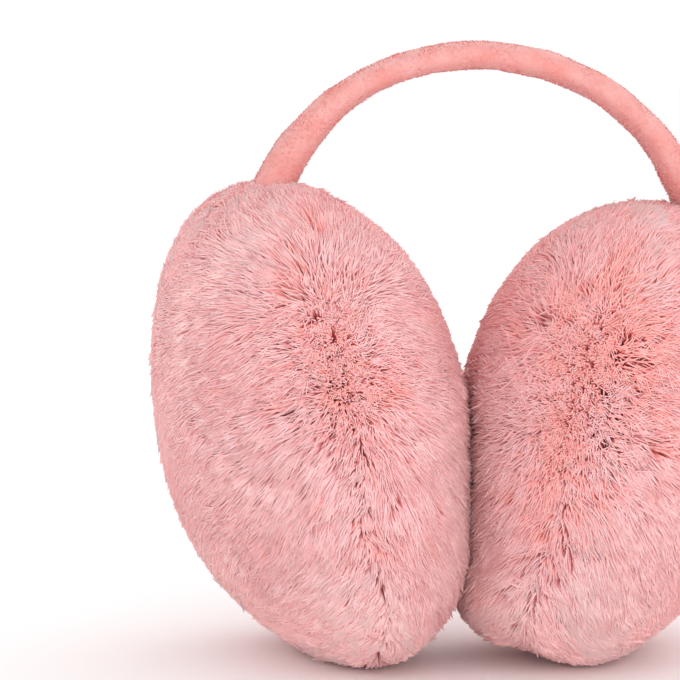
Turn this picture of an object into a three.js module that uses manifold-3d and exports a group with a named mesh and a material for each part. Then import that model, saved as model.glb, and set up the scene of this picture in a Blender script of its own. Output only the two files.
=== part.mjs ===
// Fur earmuffs: a velvet-covered sprung headband and two deep-pile fur muffs, standing on the muffs.
// Each muff is two fur panels sewn together round the rim: an outer panel that takes the headband's end,
// and an ear panel that faces the head. Deep fur is modelled as the solid of its outer form.
// Millimetres. +X is the wearer's left, -Y the front, +Z up. The origin is on the surface that the muffs
// stand on, midway between them.
import * as THREE from "three";
import { mergeVertices } from "three/addons/utils/BufferGeometryUtils.js";
import Module from "manifold-3d";

const wasm = await Module();
wasm.setup();

// Driving dimensions.
const MUFF_DEPTH = 118; // front to back, over the fur
const SIDE_MIDDLE = 61.5; // height at which a muff is deepest
const SIDE_HALF_HEIGHT = 68; // of the rounded outline seen from the side, which the foot cuts flat
const SIDE_FULLNESS = 2.3; // superellipse power of that outline
const SLIMMEST = 2.6; // most that a level section's depth may be, over its width
const SHOULDER = 96; // a muff's own top height is taken up between here and its top
const MUFF_RINGS = 26;
const MUFF_SIDES = 36;
const TOE_OUT = THREE.MathUtils.degToRad(13); // how far each muff's outer face turns to the front

const SEAM_FOOT = 33.5; // the rim seam's distance from the centre plane at the foot
const SEAM_TOP = 59; // and at the top of the muff
const SEAM_GAP = 0.4; // between the two fur panels of a muff

const BAND_CENTRE_X = 2.3; // the band leans a little towards the wearer's left
const BAND_CENTRE_HEIGHT = 98.6;
const BAND_OUTER_RADIUS = 67.3;
const BAND_STEPS = 52;
const BAND_SIDES = 16;
const BAND_SQUARENESS = 3; // superellipse power of the padded sleeve's section
const POCKET_CLEARANCE = 0.35;

const MUFFS = [
  { hand: "right", side: -1, top: 128.5 },
  { hand: "left", side: 1, top: 124.5 },
];

// The front outline of one muff, from the foot up: how far its outer and its inner side stand from the
// centre plane. The inner sides of the two muffs press against each other from 20 to 80 mm up.
const MUFF_OUTLINE = [
  { height: 0, outer: 45.5, inner: 24.5 },
  { height: 4, outer: 51, inner: 12.5 },
  { height: 14, outer: 62.8, inner: 3.6 },
  { height: 26, outer: 72.8, inner: 0.8 },
  { height: 42, outer: 80, inner: 0.5 },
  { height: 58, outer: 83.8, inner: 0.5 },
  { height: 74, outer: 85.3, inner: 1 },
  { height: 85, outer: 85.2, inner: 3.3 },
  { height: SHOULDER, outer: 84.2, inner: 7.8 },
  { height: 107, outer: 81.5, inner: 14.4 },
  { height: 117, outer: 76.4, inner: 25 },
  { height: 123, outer: 70.6, inner: 34 },
  { height: 127.3, outer: 62.5, inner: 44 },
  { height: 128.5, outer: 56.5, inner: 50 },
];

// The headband's section along its arc, from one muff over the crown to the other. The angle is from the
// crown, positive towards the wearer's left.
const BAND_SECTIONS = [
  { angle: -98, thick: 8, wide: 17 },
  { angle: -78, thick: 10.6, wide: 19 },
  { angle: -62, thick: 11, wide: 19.5 },
  { angle: -46, thick: 9.4, wide: 19 },
  { angle: -31, thick: 7.8, wide: 18 },
  { angle: 0, thick: 7.9, wide: 19 },
  { angle: 31, thick: 8, wide: 18 },
  { angle: 46, thick: 8.1, wide: 18.5 },
  { angle: 62, thick: 9.2, wide: 19.5 },
  { angle: 78, thick: 9.4, wide: 19 },
  { angle: 98, thick: 8, wide: 17 },
];

const materials = {
  velvet: new THREE.MeshStandardMaterial({ color: 0xf2a49c, roughness: 0.85, metalness: 0 }),
  fur: new THREE.MeshStandardMaterial({ color: 0xe9acad, roughness: 0.9, metalness: 0 }),
};

// A closed mesh through rings of points that all turn the same way, with a flat cap on each end.
function loft(rings) {
  const sides = rings[0].length;
  const points = rings.flat();
  const triangles = [];
  for (let r = 0; r + 1 < rings.length; r++) {
    for (let s = 0; s < sides; s++) {
      const here = r * sides + s;
      const next = r * sides + ((s + 1) % sides);
      triangles.push(here, next, next + sides, here, next + sides, here + sides);
    }
  }
  for (const [ring, turned] of [[0, true], [rings.length - 1, false]]) {
    const centre = points.length;
    const middle = new THREE.Vector3();
    rings[ring].forEach((point) => middle.addScaledVector(point, 1 / sides));
    points.push(middle);
    for (let s = 0; s < sides; s++) {
      const here = ring * sides + s;
      const next = ring * sides + ((s + 1) % sides);
      triangles.push(centre, turned ? next : here, turned ? here : next);
    }
  }
  const geometry = new THREE.BufferGeometry().setFromPoints(points);
  geometry.setIndex(triangles);
  return geometry;
}

function toSolid(geometry) {
  const bare = geometry.clone();
  bare.deleteAttribute("normal");
  bare.deleteAttribute("uv");
  const merged = mergeVertices(bare);
  return new wasm.Manifold(
    new wasm.Mesh({
      numProp: 3,
      vertProperties: new Float32Array(merged.attributes.position.array),
      triVerts: new Uint32Array(merged.index.array),
    }),
  );
}

function toGeometry(solid) {
  const { vertProperties, triVerts } = solid.getMesh();
  const geometry = new THREE.BufferGeometry();
  geometry.setAttribute("position", new THREE.BufferAttribute(vertProperties, 3));
  geometry.setIndex(new THREE.BufferAttribute(triVerts, 1));
  geometry.computeVertexNormals();
  return geometry;
}

// The muff's half depth at a height, from its rounded outline seen from the side.
function halfDepth(height) {
  const fromMiddle = Math.abs(height - SIDE_MIDDLE) / SIDE_HALF_HEIGHT;
  return (MUFF_DEPTH / 2) * (1 - fromMiddle ** SIDE_FULLNESS) ** (1 / SIDE_FULLNESS);
}

// One whole muff. Its level sections are ellipses turned outwards by TOE_OUT, and each is as thick as
// makes its width, seen from the front, reach from the outline's inner to its outer side.
function muffForm({ side, top }) {
  const outlineTop = MUFF_OUTLINE.at(-1).height;
  const outline = new THREE.CatmullRomCurve3(
    MUFF_OUTLINE.map(({ height, outer, inner }) => new THREE.Vector3(outer, inner, height)),
    false,
    "centripetal",
  );
  const rings = outline.getPoints(MUFF_RINGS).map(({ x: outer, y: inner, z: level }) => {
    const overShoulder = Math.max(0, level - SHOULDER) / (outlineTop - SHOULDER);
    const height = level + overShoulder * (top - outlineTop);
    const halfWidth = (outer - inner) / 2;
    const deep = Math.min(halfDepth(level), SLIMMEST * halfWidth);
    const thick = Math.sqrt(halfWidth ** 2 - (deep * Math.sin(TOE_OUT)) ** 2) / Math.cos(TOE_OUT);
    return Array.from({ length: MUFF_SIDES }, (_, s) => {
      const turn = (side * s * 2 * Math.PI) / MUFF_SIDES;
      const across = thick * Math.cos(turn);
      const back = deep * Math.sin(turn);
      const fromCentre = (outer + inner) / 2 + across * Math.cos(TOE_OUT) + back * Math.sin(TOE_OUT);
      return new THREE.Vector3(
        side * fromCentre,
        back * Math.cos(TOE_OUT) - across * Math.sin(TOE_OUT),
        height,
      );
    });
  });
  return toSolid(loft(rings));
}

// Everything on the outer side of a muff's seam plane, or on its ear side, less half the seam's gap.
function besideSeam(side, outward) {
  const seamHeight = MUFF_OUTLINE.at(-1).height;
  const reach = 2 * seamHeight;
  const block = new THREE.BoxGeometry(reach, reach, reach);
  block.translate(outward * (reach + SEAM_GAP) / 2, 0, 0);
  const place = new THREE.Group();
  place.rotation.set(0, Math.atan2(SEAM_TOP - SEAM_FOOT, seamHeight), -TOE_OUT, "ZYX");
  place.position.set((SEAM_TOP + SEAM_FOOT) / 2, 0, seamHeight / 2);
  place.updateMatrix();
  const solid = toSolid(block.applyMatrix4(place.matrix));
  return side > 0 ? solid : solid.mirror([1, 0, 0]);
}

// The headband, a padded sleeve on a round arc, grown on every side by a clearance.
function bandForm(clearance = 0) {
  const sections = new THREE.CatmullRomCurve3(
    BAND_SECTIONS.map(({ angle, thick, wide }) => new THREE.Vector3(angle, thick, wide)),
    false,
    "centripetal",
  ).getPoints(BAND_STEPS);
  const endGrowth = THREE.MathUtils.radToDeg(clearance / BAND_OUTER_RADIUS);
  sections[0].x -= endGrowth;
  sections.at(-1).x += endGrowth;
  const rings = sections.map(({ x: degrees, y: thick, z: wide }) => {
    const angle = THREE.MathUtils.degToRad(degrees);
    return Array.from({ length: BAND_SIDES }, (_, s) => {
      const turn = (s * 2 * Math.PI) / BAND_SIDES;
      const bulge = (Math.abs(Math.cos(turn)) ** BAND_SQUARENESS
        + Math.abs(Math.sin(turn)) ** BAND_SQUARENESS) ** (-1 / BAND_SQUARENESS);
      const outwards = (thick / 2 + clearance) * bulge * Math.cos(turn);
      const forwards = (wide / 2 + clearance) * bulge * Math.sin(turn);
      const radius = BAND_OUTER_RADIUS - thick / 2 + outwards;
      return new THREE.Vector3(
        BAND_CENTRE_X + radius * Math.sin(angle),
        -forwards,
        BAND_CENTRE_HEIGHT + radius * Math.cos(angle),
      );
    });
  });
  return toSolid(loft(rings));
}

function named(name, solid, material) {
  const mesh = new THREE.Mesh(toGeometry(solid), material);
  mesh.name = name;
  return mesh;
}

const earmuffs = new THREE.Group();
earmuffs.add(named("headband", bandForm(), materials.velvet));

const pocket = bandForm(POCKET_CLEARANCE);
for (const row of MUFFS) {
  const form = muffForm(row).subtract(pocket);
  const muff = new THREE.Group();
  muff.add(named(`${row.hand}_outer_fur`, form.intersect(besideSeam(row.side, 1)), materials.fur));
  muff.add(named(`${row.hand}_ear_fur`, form.intersect(besideSeam(row.side, -1)), materials.fur));
  earmuffs.add(muff);
}

export default earmuffs;
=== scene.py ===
import math

import bmesh
import bpy
import numpy as np
from bpy.props import FloatProperty, FloatVectorProperty, IntProperty, PointerProperty
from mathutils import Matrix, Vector
from mathutils.bvhtree import BVHTree
from mathutils.kdtree import KDTree


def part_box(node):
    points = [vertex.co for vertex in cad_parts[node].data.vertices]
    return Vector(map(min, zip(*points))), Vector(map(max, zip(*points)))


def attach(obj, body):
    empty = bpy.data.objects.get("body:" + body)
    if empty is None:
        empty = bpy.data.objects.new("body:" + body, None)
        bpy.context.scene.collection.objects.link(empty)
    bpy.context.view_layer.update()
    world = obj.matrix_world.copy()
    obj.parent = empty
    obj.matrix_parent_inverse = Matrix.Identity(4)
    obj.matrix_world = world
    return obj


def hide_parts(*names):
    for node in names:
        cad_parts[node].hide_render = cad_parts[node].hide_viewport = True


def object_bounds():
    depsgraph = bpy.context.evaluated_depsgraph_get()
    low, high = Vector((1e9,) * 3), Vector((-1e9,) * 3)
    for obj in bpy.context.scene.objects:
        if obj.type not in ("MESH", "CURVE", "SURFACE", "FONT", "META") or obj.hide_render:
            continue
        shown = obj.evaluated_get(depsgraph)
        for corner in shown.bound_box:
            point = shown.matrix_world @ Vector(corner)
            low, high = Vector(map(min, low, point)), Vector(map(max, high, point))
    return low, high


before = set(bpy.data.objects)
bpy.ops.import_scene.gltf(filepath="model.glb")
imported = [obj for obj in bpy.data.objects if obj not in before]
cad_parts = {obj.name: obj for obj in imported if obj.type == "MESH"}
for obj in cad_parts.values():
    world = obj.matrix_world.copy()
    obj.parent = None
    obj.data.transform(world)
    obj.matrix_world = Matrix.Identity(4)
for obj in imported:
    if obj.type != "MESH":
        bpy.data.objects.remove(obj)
CAD_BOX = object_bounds()

bl_info = {
    "name": "Fur earmuffs",
    "version": (1, 0, 0),
    "blender": (4, 5, 0),
    "location": "3D View > Sidebar > Earmuffs",
    "description": "Deep-pile fur muffs and a velvet headband, built around their packed frame",
    "category": "Object",
}

MM = 0.001
WELD = 1e-5
HALF_SEAM = 0.2 * MM
SKIN_MAP = "OFBake"  # a strand's own map: its tone across, and the way from its root to its tip up
MAP_WIDTH = 0.012  # how wide a strand lies in that map
TONE_ENDS = (0.03, 0.97)
HANDS = {"right": -1, "left": 1}
PANELS = {"outer": 1, "ear": -1}

# How the fur of each muff was brushed. It parts in all directions from a ridge on the front and from one on
# the back, which stand between two heights, and a parting runs down from each. They lie on the rim seam, or
# beside it by a shift towards the head. The pulls are how strongly the fur lies away from the parting on
# its outer and on its ear side. Round the ridges it is ruffled, and stands up rather than lies down.
COMBS = {
    "right": {
        "ridge": (78 * MM, 98 * MM),
        "shift": 0 * MM,
        "outer_pull": 0.85,
        "ear_pull": 0.18,
        "ruffled": 10 * MM,
        "standing": 18 * MM,
        "tone": 0.0,
    },
    "left": {
        "ridge": (70 * MM, 92 * MM),
        "shift": 15 * MM,
        "outer_pull": 0.45,
        "ear_pull": 0.75,
        "ruffled": 17 * MM,
        "standing": 26 * MM,
        # Painted light: this tone makes the whole left muff warmer, as if lit by warmer light on its side.
        "tone": -0.12,
    },
}

# How far each muff's inner side, and its foot in addition, is pressed over towards the other muff, how far
# its top stands up round the headband, and how full the shoulder is between the two.
LEANS = {
    "right": {"side": -1.4 * MM, "foot": -1.2 * MM, "crown": 0.4 * MM, "shoulder": 0.0},
    "left": {"side": 2.6 * MM, "foot": 4.5 * MM, "crown": -1.9 * MM, "shoulder": 2.2 * MM},
}

# Where things fade in: none at the first distance or height, and fully there at the second.
FADES = {
    "off_inner_side": (2 * MM, 22 * MM),  # from the centre plane
    "off_foot": (8 * MM, 34 * MM),  # up
    "crown": (112 * MM, 124 * MM),
    "shoulder": (92 * MM, 112 * MM),
    "past_shoulder": (38 * MM, 54 * MM),  # from the centre plane
    "shown": (2 * MM, 5 * MM),
    "off_contact": (3 * MM, 13 * MM),
    "off_crease": (4 * MM, 16 * MM),
    "far_side_painted_sheen": (45 * MM, 88 * MM),
    "over_contact": (68 * MM, 84 * MM),  # up
    "off_floor": (6 * MM, 46 * MM),
    "over_curl": (4 * MM, 26 * MM),
    "off_parting": (-3.5 * MM, 9 * MM),  # from the parting
    "ear_side": (6 * MM, 26 * MM),
    "under_ridge": (-4 * MM, 10 * MM),  # down from the ridge's foot
    "well_under_ridge": (-8 * MM, 24 * MM),
    "outer_side": (12 * MM, 34 * MM),  # from the seam
    "back": (4 * MM, 34 * MM),  # behind the middle
}

# How strongly the way the fur lies is bent: away from the ridges, and more so near them, away from the
# parting on the ear side and at the foot, down, and more so under the ridges, and back on the outer side.
LIE = {
    "ridge": 0.45,
    "near_ridge": 0.75,
    "ear_side": 0.5,
    "foot": 0.5,
    "down": 0.12,
    "under_ridge": 0.3,
    "back": 0.45,
}

# Random hills and hollows that bend it too. The last act only where the fur is ruffled.
WANDER = {
    "broad": {"wavelength": 26 * MM, "strength": 0.16, "seed": 100},
    "fine": {"wavelength": 9 * MM, "strength": 0.13, "seed": 105},
    "ruffle": {"wavelength": 7 * MM, "strength": 0.9, "seed": 109},
}

# What makes a strand cooler and paler than the middle tone, or with a minus warmer and deeper. Far side,
# floor and crease are painted light.
TONES = {
    "middle": 0.5,
    "each_strand": 0.07,
    "each_lock": 0.09,
    # Painted sheen: the far side of each muff paler and cooler, as where light grazes the fur.
    "far_side_painted_sheen": 0.22,
    # Painted light: the fur paler towards the floor, as if lit from below.
    "floor": 0.6,
    # Painted light: the strands paler in the crease where the muffs meet, over the shade there.
    "crease_painted_light": 0.22,
    "ruffled": -0.2,
}
FUR_PATCHES = (
    {"wavelength": 30 * MM, "strength": 0.14, "seed": 71},
    {"wavelength": 11 * MM, "strength": 0.07, "seed": 72},
)

# How much single strands vary, as the least and the most share of the plain value.
VARIES = {"length": (0.75, 1.15), "pull": (0.3, 1.25), "width": (0.7, 1.25)}

# How much the locks differ in direction, length and depth, the share of a strand's direction that is its
# lock's, how far strands stir from it, and how much more they do so where the fur is ruffled.
LOCKS = {
    "turn": 0.17,
    "length": 0.14,
    "depth": 0.6 * MM,
    "share": 0.65,
    "stir": 0.12,
    "ruffled_stir": 0.5,
}

# Where a strand bends: how far along its way and its lean, and how its depth follows the tip's and is less
# where the fur is ruffled.
BEND = {"way": 0.4, "lean": 0.3, "follows_tip": 0.5, "ruffled_rise": 0.5}
FINER = {"ruffled": 0.25, "strays": 0.6}  # how much narrower these strands are
REACH_OVER = 2.0 * MM  # how far strands reach in among those of the other muff, where the two touch
STRAY_HEIGHT = 0.9 * MM  # how much further out stray strands end
ROOT_DEPTH = 0.6 * MM  # under the backing
FLOOR_CLEARANCE = (0.25 * MM, 1.05 * MM)  # of strands that would reach lower

# The velvet's nap: how far in under the fur it ends and over what height it fades out there, how far it
# stands up and stirs, how deep its roots are, where along its way it bends and how far it bulges there, and
# how much single tufts vary in length, width and tone.
NAP = {
    "into_fur": 14 * MM,
    "fades_over": 3 * MM,
    "upright": 0.55,
    "stir": 0.25,
    "root_depth": 0.3 * MM,
    "bend_way": 0.45,
    "bulge": 0.08 * MM,
    "length": (0.6, 1.1),
    "width": (0.8, 1.2),
    "middle_tone": 0.5,
    "each_tuft": 0.10,
}

# The patches in which the nap lies this way and that, and those in which its tone differs.
NAP_TURNS = (
    {"wavelength": 9 * MM, "strength": 0.8, "seed": 17},
    {"wavelength": 2.4 * MM, "strength": 0.35, "seed": 21},
)
NAP_PATCHES = (
    {"wavelength": 12 * MM, "strength": 0.14, "seed": 25},
    {"wavelength": 4.5 * MM, "strength": 0.20, "seed": 29},
    {"wavelength": 2 * MM, "strength": 0.10, "seed": 33},
)

SLEEVE_DEPTH = 0.25  # of the sleeve under the CAD form, as a share of the nap's length
DENT_WAVELENGTH = 13 * MM
DENT_SEED = 31
FUR_SEED = 100
NAP_SEED = 17

# The two layers of fur: the depths of a strand's bend and tip under the surface, its reach and width as
# shares of a top hair's, what is added to its tone, and the share of strays that stand out of the fur.
UNDERFUR = {
    "reach": 0.75,
    "width": 1.8,
    "bend_depth": (1.2 * MM, 2.6 * MM),
    "tip_depth": (0.35 * MM, 1.2 * MM),
    "tone": -0.15,
    "strays": 0.0,
}
TOP_HAIR = {
    "reach": 1.0,
    "width": 1.0,
    "bend_depth": (0.8 * MM, 1.8 * MM),
    "tip_depth": (-0.25 * MM, 0.55 * MM),
    "tone": 0.0,
    "strays": 0.01,
}


# Where one colour gives way to the next, over a strand's tone or, for the tip's, along its way, and how far
# it takes on the tip's colour in the end.
TURNS = {"cool": (0.0, 0.6), "palest": (0.55, 1.0), "tip": (0.35, 1.0)}
TIP_SHARE = 0.7
FUR_ROOTED = 0.65  # the share of its length over which a strand's root colour fades out
NAP_ROOTED = 0.4
GRAIN_SHARE = 0.3  # of the sleeve's mottling that is fine grain rather than patches

FLOOR_RADIUS = 6.0
FLOOR_SEGMENTS = 96
BOUNCES = 10  # of light between the strands

# Where each lamp stands from the earmuffs' middle, how wide it is, and its share of the front lamp's power.
LAMPS = {
    "front": {"offset": (0.15, -1.2, 0.06), "size": 0.7, "share": 1.0},
    "rear": {"offset": (0.6, 0.9, 0.8), "size": 0.9, "share": 0.5},
}

# The camera looks this far above the earmuffs' middle, and this far beside it on the wearer's right.
AIM_ABOVE = 2.2 * MM
AIM_BESIDE = 34.5 * MM


# Settings that the sidebar shows.


class FurSettings(bpy.types.PropertyGroup):
    """The deep pile of the muffs."""

    pile: FloatProperty(
        name="Pile depth",
        description="From the backing to the fur's surface",
        default=7.5 * MM,
        unit="LENGTH",
    )
    length: FloatProperty(
        name="Strand length",
        description="Of a top hair",
        default=13.5 * MM,
        unit="LENGTH",
    )
    width: FloatProperty(
        name="Strand width",
        description="Of a top hair",
        default=0.44 * MM,
        unit="LENGTH",
    )
    lock_spacing: FloatProperty(
        name="Lock spacing",
        description="Between the tips of neighbouring locks",
        default=3.2 * MM,
        unit="LENGTH",
    )
    lock_pull: FloatProperty(
        name="Lock pull",
        description="How far strands lean into their lock's tip",
        default=0.5,
        subtype="FACTOR",
    )
    top_hairs: IntProperty(
        name="Top hairs",
        description="Bent strands on each panel",
        default=32500,
    )
    under_hairs: IntProperty(
        name="Underfur",
        description="Short strands on each panel",
        default=16900,
    )
    root_colour: FloatVectorProperty(
        name="Root colour",
        description="Deep between the strands",
        default=(0.96, 0.27, 0.25),
        subtype="COLOR",
    )
    warm_colour: FloatVectorProperty(
        name="Warm colour",
        description="Along the strands, where most coral",
        default=(0.88, 0.345, 0.315),
        subtype="COLOR",
    )
    cool_colour: FloatVectorProperty(
        name="Cool colour",
        description="Along the strands, where palest",
        default=(0.83, 0.505, 0.53),
        subtype="COLOR",
    )
    tip_colour: FloatVectorProperty(
        name="Tip colour",
        description="At the strands' tips",
        default=(0.96, 0.68, 0.67),
        subtype="COLOR",
    )


class BandSettings(bpy.types.PropertyGroup):
    """The velvet-covered headband."""

    pile: FloatProperty(
        name="Nap",
        description="Length of the velvet's pile",
        default=0.6 * MM,
        unit="LENGTH",
    )
    width: FloatProperty(
        name="Nap width",
        description="Width of a tuft of pile",
        default=0.34 * MM,
        unit="LENGTH",
    )
    tufts: IntProperty(
        name="Tufts",
        description="Tufts of pile on the band",
        default=23000,
    )
    dents: FloatProperty(
        name="Dents",
        description="Depth of the padding's dents",
        default=0.35 * MM,
        unit="LENGTH",
    )
    deep_colour: FloatVectorProperty(
        name="Deep colour",
        description="Where the nap stands up",
        default=(0.79, 0.30, 0.27),
        subtype="COLOR",
    )
    pale_colour: FloatVectorProperty(
        name="Pale colour",
        description="Where the nap lies flat",
        default=(0.81, 0.415, 0.395),
        subtype="COLOR",
    )


class StageSettings(bpy.types.PropertyGroup):
    """The floor, the daylight and the camera."""

    azimuth: FloatProperty(
        name="Azimuth",
        description="Of the camera, round the object",
        default=math.radians(-6.5),
        subtype="ANGLE",
    )
    elevation: FloatProperty(
        name="Elevation",
        description="Of the camera",
        default=math.radians(6),
        subtype="ANGLE",
    )
    distance: FloatProperty(
        name="Distance",
        description="Of the camera",
        default=0.9,
        unit="LENGTH",
    )
    view_width: FloatProperty(
        name="View width",
        description="That the camera sees there",
        default=183.6 * MM,
        unit="LENGTH",
    )
    daylight: FloatProperty(
        name="Daylight",
        description="Strength of the even light",
        default=1.08,
    )
    lamp_power: FloatProperty(
        name="Front lamp",
        description="Power of the large lamp in front",
        default=4.5,
        unit="POWER",
    )


# Arrays of points, one row each.


def dot(a, b):
    return np.sum(a * b, axis=-1, keepdims=True)


def unit(vectors):
    return vectors / np.maximum(np.linalg.norm(vectors, axis=-1, keepdims=True), 1e-12)


def along_surface(vectors, normals):
    return vectors - normals * dot(vectors, normals)


def smooth(values, low, high):
    """0 under low, 1 over high, and an S-curve between."""
    share = np.clip((values - low) / (high - low), 0, 1)
    return share * share * (3 - 2 * share)


def fade(name, values):
    return smooth(values, *FADES[name])


def bump_of(distances, reach):
    """1 at no distance, fading to 0 over a few times the reach."""
    return np.exp(-((distances / reach) ** 2))


def ripples(places, wavelength, seed, waves=9, spread=(0.7, 1.5)):
    """Soft random hills and hollows at each place, about -1 to 1, of roughly that wavelength."""
    rng = np.random.default_rng(seed)
    directions = unit(rng.normal(size=(waves, 3)))
    pitches = 2 * math.pi / (wavelength * rng.uniform(*spread, waves))
    phases = rng.uniform(0, 2 * math.pi, waves)
    heights = np.sin(places @ (directions * pitches[:, None]).T + phases)
    return heights.sum(1, keepdims=True) / math.sqrt(waves)


def ripples_3d(places, wavelength, seed):
    return np.hstack([ripples(places, wavelength, seed + axis) for axis in range(3)])


def patches(places, rows, kind=ripples):
    """Ripples of several wavelengths and strengths, added up."""
    return sum(kind(places, row["wavelength"], row["seed"]) * row["strength"] for row in rows)


# Meshes.


def relax(made, rounds=3):
    """Evens a mesh out, a little more with each round."""
    for _ in range(rounds):
        bmesh.ops.smooth_vert(
            made, verts=made.verts, factor=0.5, use_axis_x=True, use_axis_y=True, use_axis_z=True
        )


def swell(made, amount):
    """Moves every vertex outwards."""
    made.normal_update()
    steps = [vertex.normal * amount for vertex in made.verts]
    for vertex, step in zip(made.verts, steps):
        vertex.co += step


def merged_copy(node):
    """A CAD node's mesh as a bmesh of its own, with the loose triangles joined."""
    copy = bmesh.new()
    copy.from_mesh(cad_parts[node].data)
    bmesh.ops.remove_doubles(copy, verts=copy.verts, dist=WELD)
    return copy


def add_piece(name, mesh, material):
    mesh.materials.append(material)
    piece = bpy.data.objects.new(name, mesh)
    bpy.context.scene.collection.objects.link(piece)
    return piece


def bmesh_piece(name, made, material):
    """A smooth-shaded piece from a bmesh, which is freed."""
    mesh = bpy.data.meshes.new(name)
    for face in made.faces:
        face.smooth = True
    made.to_mesh(mesh)
    made.free()
    return add_piece(name, mesh, material)


class Surface:
    """A closed triangle mesh that points are scattered on and brought back to."""

    def __init__(self, made):
        bmesh.ops.triangulate(made, faces=made.faces)
        made.normal_update()
        self.tree = BVHTree.FromBMesh(made)
        self.points = np.array([vertex.co for vertex in made.verts])
        self.normals = np.array([vertex.normal for vertex in made.verts])
        self.triangles = np.array([[corner.index for corner in face.verts] for face in made.faces])
        self.area = sum(face.calc_area() for face in made.faces)

    def normals_at(self, places, faces):
        a, b, c = (self.points[self.triangles[faces, corner]] for corner in range(3))
        whole = dot(np.cross(b - a, c - a), np.cross(b - a, c - a))
        share_b = dot(np.cross(places - a, c - a), np.cross(b - a, c - a)) / whole
        share_c = dot(np.cross(b - a, places - a), np.cross(b - a, c - a)) / whole
        corners = (self.normals[self.triangles[faces, corner]] for corner in range(3))
        shares = (1 - share_b - share_c, share_b, share_c)
        return unit(sum(normal * share for normal, share in zip(corners, shares)))

    def scatter(self, count, rng, weigh=None):
        """Points spread evenly by area, or by area and a weight of each face's middle, with normals."""
        a, b, c = (self.points[self.triangles[:, corner]] for corner in range(3))
        areas = np.linalg.norm(np.cross(b - a, c - a), axis=1)
        if weigh is not None:
            areas = areas * weigh((a + b + c) / 3)
        ends = np.cumsum(areas)
        picks = (np.arange(count) + rng.uniform(0, 1, count)) / count * ends[-1]
        faces = np.minimum(np.searchsorted(ends, picks), len(ends) - 1)
        from_a = np.sqrt(rng.uniform(0, 1, (count, 1)))
        share_c = rng.uniform(0, 1, (count, 1)) * from_a
        places = a[faces] * (1 - from_a) + b[faces] * (from_a - share_c) + c[faces] * share_c
        return places, self.normals_at(places, faces)

    def nearest(self, places):
        """The nearest points on the surface, with normals."""
        found = [self.tree.find_nearest(place) for place in places.tolist()]
        spots = np.array([hit[0] for hit in found])
        return spots, self.normals_at(spots, np.array([hit[2] for hit in found]))


def strand_shape():
    """The corners and faces of one strand: a root, the two edges of its bend, and a tip."""
    shape = bmesh.new()
    bmesh.ops.create_cone(shape, cap_ends=True, segments=3, radius1=1, radius2=0, depth=1)
    bmesh.ops.remove_doubles(shape, verts=shape.verts, dist=WELD)
    tip = max(shape.verts, key=lambda vertex: vertex.co.z)
    left, root, right = sorted(set(shape.verts) - {tip}, key=lambda vertex: vertex.co.x)
    order = {vertex: number for number, vertex in enumerate((root, left, right, tip))}
    for vertex, spot in zip((root, left, right, tip), ((0, 0, 0), (-1, 1, 1), (1, 1, 1), (0, 0, 2))):
        vertex.co = spot
    bmesh.ops.recalc_face_normals(shape, faces=shape.faces)
    faces = np.array([[order[corner] for corner in face.verts] for face in shape.faces])
    shape.free()
    return faces


class Strands:
    """Rows of strands, each from its root over a bend to its tip, that grow into one joined mesh."""

    SOFTNESS = 2.8  # how much a strand is shaded as the fur's whole surface is
    MAP_ACROSS = np.array((0, -MAP_WIDTH, MAP_WIDTH, 0))  # of the root, both edges of the bend, and the tip
    MAP_UP = (0, 0.5, 0.5, 1)

    def __init__(self):
        self.rows = []

    def add(self, roots, bends, tips, outwards, widths, tones):
        """The bends lie on the outer side of the straight way from root to tip."""
        sides = unit(np.cross(outwards, tips - roots)) * widths / 2
        corners = np.stack((roots, bends - sides, bends + sides, tips), axis=1)
        across = np.clip(tones, *TONE_ENDS) + self.MAP_ACROSS
        up = np.broadcast_to(self.MAP_UP, across.shape)
        self.rows.append((corners, outwards, np.stack((across, up), axis=2)))

    def piece(self, name, material):
        corners, outwards, spots = (np.concatenate(values) for values in zip(*self.rows))
        shape = strand_shape()
        starts = np.arange(len(corners))[:, None, None] * corners.shape[1]
        faces = (starts + shape).reshape(-1, 3)
        points = corners.reshape(-1, 3)
        mesh = bpy.data.meshes.new(name)
        mesh.from_pydata(points, [], faces)
        mesh.uv_layers.new(name=SKIN_MAP).data.foreach_set("uv", spots.reshape(-1, 2)[faces].ravel())
        a, b, c = (points[faces[:, corner]] for corner in range(3))
        flat = unit(np.cross(b - a, c - a))
        soft = np.repeat(outwards, len(shape), axis=0)
        shades = np.where(dot(flat, soft) > 0, unit(flat + soft * self.SOFTNESS), flat)
        mesh.normals_split_custom_set(np.repeat(shades, 3, axis=0))
        return add_piece(name, mesh, material)


# The muffs.


def outer_form(hand, detail=5, fullness=0.3 * MM):
    """A muff's outer form without its seam and pocket: a sphere drawn out onto the hull of its two panels.

    It is made a little fuller again after the smoothing, and pressed as the table of leans says.
    """
    hull = bmesh.new()
    for panel in PANELS:
        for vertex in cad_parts[f"{hand}_{panel}_fur"].data.vertices:
            hull.verts.new(vertex.co)
    bmesh.ops.convex_hull(hull, input=hull.verts)
    tree = BVHTree.FromBMesh(hull)
    hull.free()
    boxes = [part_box(f"{hand}_{panel}_fur") for panel in PANELS]
    low = Vector(map(min, *(box[0] for box in boxes)))
    high = Vector(map(max, *(box[1] for box in boxes)))
    form = bmesh.new()
    bmesh.ops.create_icosphere(form, subdivisions=detail, radius=1)
    for vertex in form.verts:
        ray = vertex.co * (high - low)
        vertex.co = tree.ray_cast((low + high) / 2, ray.normalized())[0]
    relax(form)
    swell(form, fullness)
    lean = LEANS[hand]
    for vertex in form.verts:
        inner = 1 - fade("off_inner_side", abs(vertex.co.x))
        foot = 1 - fade("off_foot", vertex.co.z)
        vertex.co.x -= HANDS[hand] * inner * (lean["side"] + lean["foot"] * foot)
        before_shoulder = 1 - fade("past_shoulder", abs(vertex.co.x))
        shoulder = lean["shoulder"] * before_shoulder * fade("shoulder", vertex.co.z)
        vertex.co.z += lean["crown"] * fade("crown", vertex.co.z) + shoulder
    return form


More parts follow.
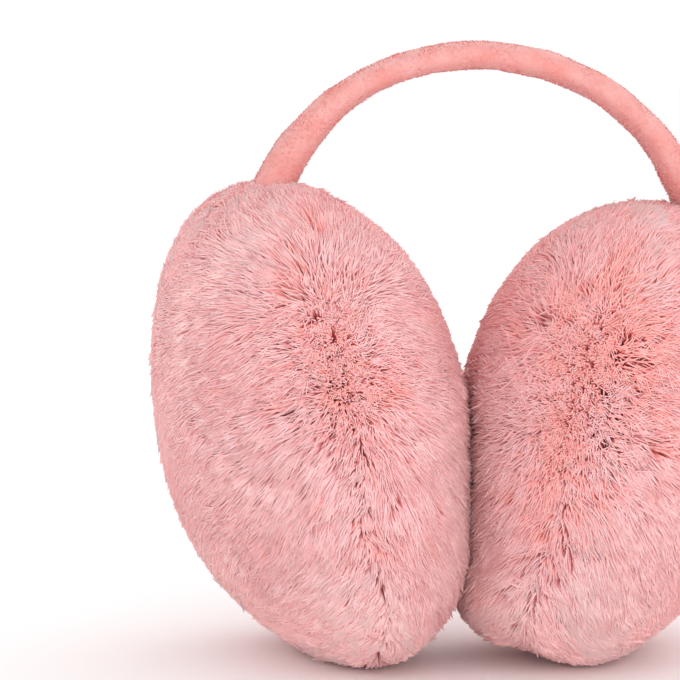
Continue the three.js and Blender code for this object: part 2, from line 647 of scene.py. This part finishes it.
def seam_plane(hand, reach=1.0 * MM):
    """A point on a muff's rim seam, and the seam's normal, which points away from the head.

    The seam's faces are those of the outer panel that have the ear panel within reach.
    """
    ear = merged_copy(f"{hand}_ear_fur")
    tree = BVHTree.FromBMesh(ear)
    ear.free()
    outer = merged_copy(f"{hand}_outer_fur")
    faces = [face for face in outer.faces if tree.find_nearest(face.calc_center_median())[3] < reach]
    area = sum(face.calc_area() for face in faces)
    point = sum((face.calc_center_median() * face.calc_area() for face in faces), Vector()) / area
    normal = -sum((face.normal * face.calc_area() for face in faces), Vector()).normalized()
    outer.free()
    return point, normal


class Muff:
    """A muff's form, its seam, and how its fur lies."""

    UPRIGHT = 0.1  # how far the fur that stands up still lies over
    RIDGE_WIDTH = 1 * MM
    PACKING = 0.7  # the power by which fur that stands up is denser
    THINNED = 0.6  # how much thinner the fur is in the middle of where the muffs touch
    CONTACT_HALF = 30 * MM  # from front to back
    WAVER = 1.6 * MM  # of the parting
    WAVER_LENGTH = 14 * MM
    WAVER_SEED = 3
    HANDOVER = 18 * MM  # the difference in distance at which the nearer ridge rules over the other one
    RIDGE_REACH = 38 * MM
    OUTER_REACH = 45 * MM  # of the outer side's pull, from the parting
    FOOT_REACH = 8 * MM
    PARTING_WIDTH = 6 * MM
    PARTING_LOOSE = 0.5  # how ruffled it is, beside the ridges

    def __init__(self, hand):
        self.hand = hand
        self.comb = COMBS[hand]
        form = outer_form(hand)
        self.surface = Surface(form)
        form.free()
        self.seam, self.away = seam_plane(hand)
        self.parting = self.seam - self.away * self.comb["shift"]
        along = self.away.cross(Vector((0, 0, 1))).normalized()
        self.ridges = [self.ridge_ends(along * way) for way in (1, -1)]

    def ridge_ends(self, towards_side):
        """The lower and the upper end of the ridge on the front or on the back."""
        ends = []
        for height in self.comb["ridge"]:
            start = Vector((*self.parting.xy, height))
            start -= self.away * (start - self.parting).dot(self.away)
            ends.append(np.array(self.surface.tree.ray_cast(start, towards_side)[0]))
        return ends

    def from_ridges(self, places):
        """The way to each place from the nearest point of either ridge."""
        ways = []
        for low, high in self.ridges:
            along = high - low
            share = np.clip(dot(places - low, along) / dot(along, along), 0, 1)
            ways.append(places - low - along * share)
        return ways

    def beyond_seam(self, places):
        return dot(places - np.array(self.seam), np.array(self.away))

    def to_ridge(self, places):
        return np.minimum(*(np.linalg.norm(way, axis=1, keepdims=True) for way in self.from_ridges(places)))

    def thickness(self, middles):
        """How dense the fur is: more where it stands up, and less deep between the two muffs."""
        between = (1 - fade("shown", np.abs(middles[:, :1]))) * bump_of(middles[:, 1:2], self.CONTACT_HALF)
        return (self.laid_share(middles) ** -self.PACKING * (1 - self.THINNED * between))[:, 0]

    def laid_share(self, places):
        """How far the fur lies down: fully, apart from round the ridges and along the parting."""
        clear = smooth(self.to_ridge(places), -self.RIDGE_WIDTH, self.comb["standing"])
        beside = fade("off_parting", np.abs(self.beside_parting(places)))
        below = fade("under_ridge", self.comb["ridge"][0] - places[:, 2:3])
        return self.UPRIGHT + (1 - self.UPRIGHT) * clear * (1 - below * (1 - beside))

    def beside_parting(self, places):
        """The distance from the parting, which wavers, on the side away from the head."""
        waver = self.WAVER * ripples(places[:, 2:3] * (0, 0, 1), self.WAVER_LENGTH, self.WAVER_SEED)
        return dot(places - np.array(self.parting), np.array(self.away)) + waver

    def ruffled(self, places):
        """How far the fur is in disorder, from 0 to 1."""
        return bump_of(self.to_ridge(places), self.comb["ruffled"])

    def lie(self, places, normals):
        """The way the fur lies: out from the ridges, away from the parting, and down below them."""
        ways = self.from_ridges(places)
        shares = [np.exp(-np.linalg.norm(way, axis=1, keepdims=True) / self.HANDOVER) for way in ways]
        from_ridge = sum(unit(way) * share for way, share in zip(ways, shares)) / sum(shares)
        from_ridge *= LIE["ridge"] + LIE["near_ridge"] * bump_of(self.to_ridge(places), self.RIDGE_REACH)

        height = places[:, 2:3]
        below = fade("well_under_ridge", self.comb["ridge"][0] - height)
        beyond = self.beside_parting(places)
        outer_pull = self.comb["outer_pull"] * bump_of(beyond, self.OUTER_REACH)
        ear_pull = self.comb["ear_pull"] + LIE["ear_side"] * fade("ear_side", -beyond)
        pull = np.where(beyond > 0, outer_pull, -ear_pull) * below
        pull = pull + LIE["foot"] * (1 - fade("over_curl", height)) * np.tanh(beyond / self.FOOT_REACH)
        down = np.array((0, 0, -1.0)) * (LIE["under_ridge"] * below + LIE["down"])
        back = np.array((0, 1.0, 0)) * LIE["back"] * fade("outer_side", self.beyond_seam(places))
        back = back * (1 - fade("back", places[:, 1:2]))

        parting_loose = self.PARTING_LOOSE * below * bump_of(beyond, self.PARTING_WIDTH)
        loose = {"broad": 1, "fine": 1, "ruffle": np.maximum(self.ruffled(places), parting_loose)}
        wander = sum(
            ripples_3d(places, row["wavelength"], row["seed"]) * row["strength"] * loose[name]
            for name, row in WANDER.items()
        )
        way = from_ridge + np.array(self.away) * pull + down + back + wander
        return unit(along_surface(way, normals))


def gathered(places, locks_each, rng):
    """For each strand the strand in the middle of its lock, and that lock's number."""
    count = max(1, int(len(places) * locks_each))
    middles = rng.choice(len(places), count, replace=False)
    tree = KDTree(count)
    for number, middle in enumerate(middles):
        tree.insert(places[middle], number)
    tree.balance()
    locks = np.array([tree.find(place)[1] for place in places.tolist()])
    return middles[locks], locks


def grow_fur(muff, panel, fur, rng):
    """The fur of one panel of a muff, as Strands."""
    pile = Strands()
    for layer, count in ((UNDERFUR, fur.under_hairs), (TOP_HAIR, fur.top_hairs)):
        pile.add(*grow_layer(muff, PANELS[panel], fur, layer, count, rng))
    return pile


def grow_layer(muff, side, fur, layer, count, rng):
    """One layer of fur on one side of a muff's seam: all that Strands are made from."""

    def weight(middles):
        return muff.thickness(middles) * (side * muff.beyond_seam(middles)[:, 0] > 0)

    def varied(name):
        return rng.uniform(*VARIES[name], (count, 1))

    places, normals = muff.surface.scatter(count, rng, weight)
    ruffled = muff.ruffled(places)
    ways = muff.lie(places, normals)
    area_each = muff.surface.area / len(PANELS) / count
    middles, locks = gathered(places, area_each / fur.lock_spacing**2, rng)
    lock_count = locks.max() + 1
    lock_ways = unit(ways[middles] + rng.normal(0, LOCKS["turn"], (lock_count, 3))[locks])
    stir = rng.normal(0, 1, (count, 3)) * (LOCKS["stir"] + LOCKS["ruffled_stir"] * ruffled)
    own_share = 1 - LOCKS["share"]
    ways = unit(along_surface(ways * own_share + lock_ways * LOCKS["share"] + stir, normals))

    lengths = fur.length * layer["reach"] * varied("length")
    lengths *= (1 + LOCKS["length"] * rng.normal(size=(lock_count, 1)))[locks] * muff.laid_share(places)
    lean = along_surface(places[middles] - places, normals) * (fur.lock_pull * varied("pull"))
    tips, tip_normals = muff.surface.nearest(places + ways * lengths + lean)
    bends, bend_normals = muff.surface.nearest(places + ways * lengths * BEND["way"] + lean * BEND["lean"])

    touching = 1 - fade("off_contact", np.abs(tips[:, 0:1]))
    touching *= 1 - fade("over_contact", tips[:, 2:3])
    tip_depths = rng.uniform(*layer["tip_depth"], (count, 1)) - REACH_OVER * touching
    tip_depths += rng.uniform(0, LOCKS["depth"], (lock_count, 1))[locks]
    strays = rng.random((count, 1)) < layer["strays"]
    tip_depths -= STRAY_HEIGHT * strays
    tips -= tip_normals * tip_depths
    bend_depths = rng.uniform(*layer["bend_depth"], (count, 1)) * (1 - BEND["ruffled_rise"] * ruffled)
    bends -= bend_normals * (tip_depths * BEND["follows_tip"] + bend_depths)
    roots = places - normals * (fur.pile + ROOT_DEPTH)
    for path in (tips, bends, roots):
        path[:, 2] = np.maximum(path[:, 2], rng.uniform(*FLOOR_CLEARANCE, count))

    widths = fur.width * layer["width"] * varied("width")
    widths *= (1 - FINER["ruffled"] * ruffled) * (1 - FINER["strays"] * strays)
    tones = muff_tones(muff, places, locks, rng) + layer["tone"]
    return roots, bends, tips, unit(tip_normals + bend_normals), widths, tones


def muff_tones(muff, places, locks, rng):
    """How cool and pale each strand is, from 0 to 1 or a little past them, with painted sheen and painted
    light in it.
    """
    from_centre = np.abs(places[:, 0:1])
    tones = TONES["middle"] + TONES["each_strand"] * rng.normal(size=(len(places), 1))
    tones += (TONES["each_lock"] * rng.normal(size=(locks.max() + 1, 1)))[locks]
    tones += patches(places, FUR_PATCHES)
    # Painted sheen, paler and cooler on each muff's far side, and the muff's own tone, which on the left
    # muff is painted warm light.
    tones += TONES["far_side_painted_sheen"] * fade("far_side_painted_sheen", from_centre) + muff.comb["tone"]
    # Painted light from below: paler strands towards the floor.
    tones += TONES["floor"] * (1 - fade("off_floor", places[:, 2:3]))
    # Painted light in the crease between the muffs, lifting its shade.
    tones += TONES["crease_painted_light"] * (1 - fade("off_crease", from_centre))
    return tones + TONES["ruffled"] * muff.ruffled(places)


def panel_core(hand, panel, muff, depth):
    """The stuffed body under one panel's fur: the muff's form drawn in by the pile, and cut at the seam."""
    core = outer_form(hand, detail=4)
    swell(core, -depth)
    outwards = muff.away * PANELS[panel]
    cut = bmesh.ops.bisect_plane(
        core,
        geom=core.verts[:] + core.edges[:] + core.faces[:],
        plane_co=muff.seam + outwards * HALF_SEAM,
        plane_no=outwards,
        clear_inner=True,
    )
    rim = [part for part in cut["geom_cut"] if isinstance(part, bmesh.types.BMEdge)]
    bmesh.ops.holes_fill(core, edges=rim)
    bmesh.ops.recalc_face_normals(core, faces=core.faces)
    return core


# Materials.


class Value:
    """A socket that takes part in sums, and adds a Math node for each."""

    def __init__(self, maker, socket):
        self.maker, self.socket = maker, socket

    def maths(self, operation, *values):
        return self.maker.add("ShaderNodeMath", {"operation": operation}, dict(enumerate(values)))

    def __add__(self, other):
        return self.maths("ADD", self, other)

    def __mul__(self, other):
        return self.maths("MULTIPLY", self, other)

    def rise(self, low, high):
        """0 under low, 1 over high, and an S-curve between."""
        inputs = {"Value": self, "From Min": low, "From Max": high}
        return self.maker.add("ShaderNodeMapRange", {"interpolation_type": "SMOOTHSTEP"}, inputs)


class Finish:
    """A material whose nodes are added one call at a time."""

    # The Mix node's sockets for colours, whose names it uses more than once.
    MIX_SHARE = 0
    MIX_FIRST = 6
    MIX_SECOND = 7
    MIX_RESULT = 2

    def __init__(self, name, **plain):
        self.material = bpy.data.materials.new(name)
        self.material.use_nodes = True
        self.tree = self.material.node_tree
        self.shader = self.tree.nodes["Principled BSDF"]
        for socket, value in plain.items():
            self.shader.inputs[socket.replace("_", " ")].default_value = value

    def add(self, kind, settings=None, inputs=None, output=0):
        node = self.tree.nodes.new(kind)
        for setting, value in (settings or {}).items():
            setattr(node, setting, value)
        for socket, value in (inputs or {}).items():
            if isinstance(value, Value):
                self.tree.links.new(value.socket, node.inputs[socket])
            else:
                node.inputs[socket].default_value = value
        return Value(self, node.outputs[output])

    def mix(self, share, first, second):
        """One colour, turning into another as the share goes from 0 to 1."""
        inputs = {self.MIX_SHARE: share}
        for socket, value in ((self.MIX_FIRST, first), (self.MIX_SECOND, second)):
            inputs[socket] = value if isinstance(value, Value) else (*value, 1)
        return self.add("ShaderNodeMix", {"data_type": "RGBA"}, inputs, output=self.MIX_RESULT)

    def noise(self, place, scale, detail):
        return self.add("ShaderNodeTexNoise", {}, {"Vector": place, "Scale": scale, "Detail": detail})

    def bump(self, height, strength, distance):
        heights = {"Height": height, "Strength": strength, "Distance": distance}
        self.set("Normal", self.add("ShaderNodeBump", {}, heights))

    def place(self):
        return self.add("ShaderNodeTexCoord", output="Object")

    def skin_map(self):
        """A strand's tone, and the share of the way from its root to its tip."""
        split = self.tree.nodes.new("ShaderNodeSeparateXYZ")
        spot = self.add("ShaderNodeUVMap", {"uv_map": SKIN_MAP})
        self.tree.links.new(spot.socket, split.inputs[0])
        return Value(self, split.outputs[0]), Value(self, split.outputs[1])

    def set(self, socket, value):
        self.tree.links.new(value.socket, self.shader.inputs[socket])


def strand_finish(name, root, warm, cool, tip, rooted):
    """Hair that is deep-coloured at the root, and warm or cool by its tone, with a paler tip.

    The root's colour has given way to the hair's own at the rooted share of its length.
    """
    finish = Finish(name, Roughness=0.7, Specular_IOR_Level=0.04)
    tone, way = finish.skin_map()
    shaft = finish.mix(tone.rise(*TURNS["cool"]), warm, cool)
    pale_shaft = finish.mix(tone.rise(*TURNS["palest"]), shaft, tip)
    hair = finish.mix(way.rise(*TURNS["tip"]) * TIP_SHARE, pale_shaft, tip)
    finish.set("Base Color", finish.mix(way.rise(0.0, rooted), root, hair))
    return finish.material


def backing_finish(fur):
    """The dense underfur at the foot of the pile."""
    finish = Finish("underfur", Roughness=0.9, Specular_IOR_Level=0.1)
    fuzz = finish.noise(finish.place(), scale=900, detail=3)
    share = fuzz.rise(low=0.35, high=0.7)
    finish.set("Base Color", finish.mix(share, fur.root_colour, fur.warm_colour))
    finish.bump(fuzz, strength=0.6, distance=0.6 * MM)
    return finish.material


def sleeve_finish(band):
    """The velvet's ground, with a mottled nap."""
    finish = Finish(
        "velvet",
        Roughness=0.85,
        Specular_IOR_Level=0.15,
        Sheen_Weight=0.35,
        Sheen_Roughness=0.4,
    )
    place = finish.place()
    mottling = finish.noise(place, scale=110, detail=4)
    grain = finish.noise(place, scale=1800, detail=2)
    share = (mottling * (1 - GRAIN_SHARE) + grain * GRAIN_SHARE).rise(low=0.35, high=0.65)
    finish.set("Base Color", finish.mix(share, band.deep_colour, band.pale_colour))
    finish.bump(grain, strength=0.5, distance=0.25 * MM)
    return finish.material


# The headband.


def padded_sleeve(band):
    """The headband's sleeve: the CAD form subdivided, drawn in a little for the nap, and dented."""
    sleeve = merged_copy("headband")
    bmesh.ops.subdivide_edges(sleeve, edges=sleeve.edges, cuts=1, smooth=0.6, use_grid_fill=True)
    relax(sleeve)
    sleeve.normal_update()
    points = np.array([vertex.co for vertex in sleeve.verts])
    normals = np.array([vertex.normal for vertex in sleeve.verts])
    dents = band.dents * (1 + ripples(points, DENT_WAVELENGTH, DENT_SEED)) / 2
    for vertex, point in zip(sleeve.verts, points - normals * (band.pile * SLEEVE_DEPTH + dents)):
        vertex.co = point
    return sleeve


def velvet_pile(sleeve, band):
    """Short tufts over the sleeve, down to a little way into the fur, as Strands."""
    rng = np.random.default_rng(NAP_SEED)
    surface = Surface(sleeve)
    lowest = min(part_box(f"{hand}_outer_fur")[1].z for hand in HANDS) - NAP["into_fur"]

    def weight(middles):
        return smooth(middles[:, 2], lowest - NAP["fades_over"], lowest)

    def varied(name):
        return rng.uniform(*NAP[name], (band.tufts, 1))

    places, normals = surface.scatter(band.tufts, rng, weight)
    turns = patches(places, NAP_TURNS, ripples_3d)
    ways = along_surface(turns + rng.normal(0, NAP["stir"], places.shape), normals)
    tips = places + unit(normals * NAP["upright"] + ways) * band.pile * varied("length")
    roots = places - normals * NAP["root_depth"]
    bends = roots + (tips - roots) * NAP["bend_way"] + normals * NAP["bulge"]
    tones = NAP["middle_tone"] + NAP["each_tuft"] * rng.normal(size=(band.tufts, 1))
    tones += patches(places, NAP_PATCHES)
    pile = Strands()
    pile.add(roots, bends, tips, normals, band.width * varied("width"), tones)
    return pile


# The operators.


class EARMUFFS_OT_headband(bpy.types.Operator):
    """Build the velvet-covered headband"""

    bl_idname = "earmuffs.headband"
    bl_label = "Headband"

    def execute(self, context):
        band = context.scene.earmuffs_band
        sleeve = padded_sleeve(band)
        deep, pale = band.deep_colour, band.pale_colour
        nap_finish = strand_finish("velvet_nap", deep, deep, pale, pale, NAP_ROOTED)
        pile = velvet_pile(sleeve, band).piece("headband_nap", nap_finish)
        piece = bmesh_piece("headband_sleeve", sleeve, sleeve_finish(band))
        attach(piece, "root")
        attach(pile, "root")
        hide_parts("headband")
        return {"FINISHED"}


class EARMUFFS_OT_muffs(bpy.types.Operator):
    """Build both muffs: a stuffed body and deep fur for each of the four panels"""

    bl_idname = "earmuffs.muffs"
    bl_label = "Muffs"

    def execute(self, context):
        fur = context.scene.earmuffs_fur
        backing = backing_finish(fur)
        colours = (fur.root_colour, fur.warm_colour, fur.cool_colour, fur.tip_colour)
        hair = strand_finish("fur", *colours, FUR_ROOTED)
        rng = np.random.default_rng(FUR_SEED)
        for hand in HANDS:
            muff = Muff(hand)
            for panel in PANELS:
                body = panel_core(hand, panel, muff, fur.pile)
                core = bmesh_piece(f"{hand}_{panel}_body", body, backing)
                pile = grow_fur(muff, panel, fur, rng).piece(f"{hand}_{panel}_pile", hair)
                for piece in (core, pile):
                    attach(piece, "root")
                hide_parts(f"{hand}_{panel}_fur")
        return {"FINISHED"}


class EARMUFFS_OT_stage(bpy.types.Operator):
    """Set up the floor, the lights and the camera"""

    bl_idname = "earmuffs.stage"
    bl_label = "Stage"

    def execute(self, context):
        stage = context.scene.earmuffs_stage
        low, high = CAD_BOX
        self.lay_floor()
        self.light(context.scene, stage, (low + high) / 2)
        self.place_camera(context.scene, stage, (low + high) / 2)
        return {"FINISHED"}

    def lay_floor(self):
        disc = bmesh.new()
        bmesh.ops.create_circle(disc, cap_ends=True, radius=FLOOR_RADIUS, segments=FLOOR_SEGMENTS)
        finish = Finish(
            "floor",
            Base_Color=(0.93, 0.93, 0.93, 1),
            Roughness=0.9,
            Specular_IOR_Level=0.1,
        )
        bmesh_piece("floor", disc, finish.material)

    def light(self, scene, stage, centre):
        world = bpy.data.worlds.new("daylight")
        world.use_nodes = True
        background = world.node_tree.nodes["Background"]
        background.inputs["Color"].default_value = (1, 1, 1, 1)
        background.inputs["Strength"].default_value = stage.daylight
        scene.world = world
        scene.view_settings.view_transform = "Standard"
        scene.cycles.diffuse_bounces = BOUNCES
        for name, row in LAMPS.items():
            lamp = bpy.data.lights.new(name, "AREA")
            lamp.size = row["size"]
            lamp.energy = stage.lamp_power * row["share"]
            offset = Vector(row["offset"])
            holder = bpy.data.objects.new(name, lamp)
            holder.location = centre + offset
            holder.rotation_euler = (-offset).to_track_quat("-Z", "Y").to_euler()
            scene.collection.objects.link(holder)

    def place_camera(self, scene, stage, centre):
        """Looks past the middle towards the wearer's right, which leaves the other muff's side out."""
        azimuth, elevation = stage.azimuth, stage.elevation
        back = Vector((
            math.sin(azimuth) * math.cos(elevation),
            -math.cos(azimuth) * math.cos(elevation),
            math.sin(elevation),
        ))
        right = Vector((math.cos(azimuth), math.sin(azimuth), 0))
        aim = centre + Vector((0, 0, AIM_ABOVE)) - right * AIM_BESIDE
        spot = centre + back * stage.distance
        lens = bpy.data.cameras.new("camera")
        lens.lens = lens.sensor_width * stage.distance / stage.view_width
        camera = bpy.data.objects.new("camera", lens)
        camera.location = spot
        camera.rotation_euler = (aim - spot).to_track_quat("-Z", "Y").to_euler()
        scene.collection.objects.link(camera)
        scene.camera = camera


class EARMUFFS_PT_panel(bpy.types.Panel):
    """The earmuffs' settings and build steps"""

    bl_label = "Earmuffs"
    bl_idname = "EARMUFFS_PT_panel"
    bl_space_type = "VIEW_3D"
    bl_region_type = "UI"
    bl_category = "Earmuffs"

    def draw(self, context):
        for group, operator in (
            (context.scene.earmuffs_band, EARMUFFS_OT_headband),
            (context.scene.earmuffs_fur, EARMUFFS_OT_muffs),
            (context.scene.earmuffs_stage, EARMUFFS_OT_stage),
        ):
            box = self.layout.box()
            for setting in group.bl_rna.properties:
                if setting.identifier not in ("rna_type", "name"):
                    box.prop(group, setting.identifier)
            box.operator(operator.bl_idname)


CLASSES = (
    FurSettings,
    BandSettings,
    StageSettings,
    EARMUFFS_OT_headband,
    EARMUFFS_OT_muffs,
    EARMUFFS_OT_stage,
    EARMUFFS_PT_panel,
)


def register():
    for each in CLASSES:
        bpy.utils.register_class(each)
    bpy.types.Scene.earmuffs_fur = PointerProperty(type=FurSettings)
    bpy.types.Scene.earmuffs_band = PointerProperty(type=BandSettings)
    bpy.types.Scene.earmuffs_stage = PointerProperty(type=StageSettings)


def unregister():
    del bpy.types.Scene.earmuffs_stage
    del bpy.types.Scene.earmuffs_band
    del bpy.types.Scene.earmuffs_fur
    for each in reversed(CLASSES):
        bpy.utils.unregister_class(each)


def main():
    register()
    bpy.ops.earmuffs.stage()
    bpy.ops.earmuffs.headband()
    bpy.ops.earmuffs.muffs()


if __name__ == "__main__":
    main()
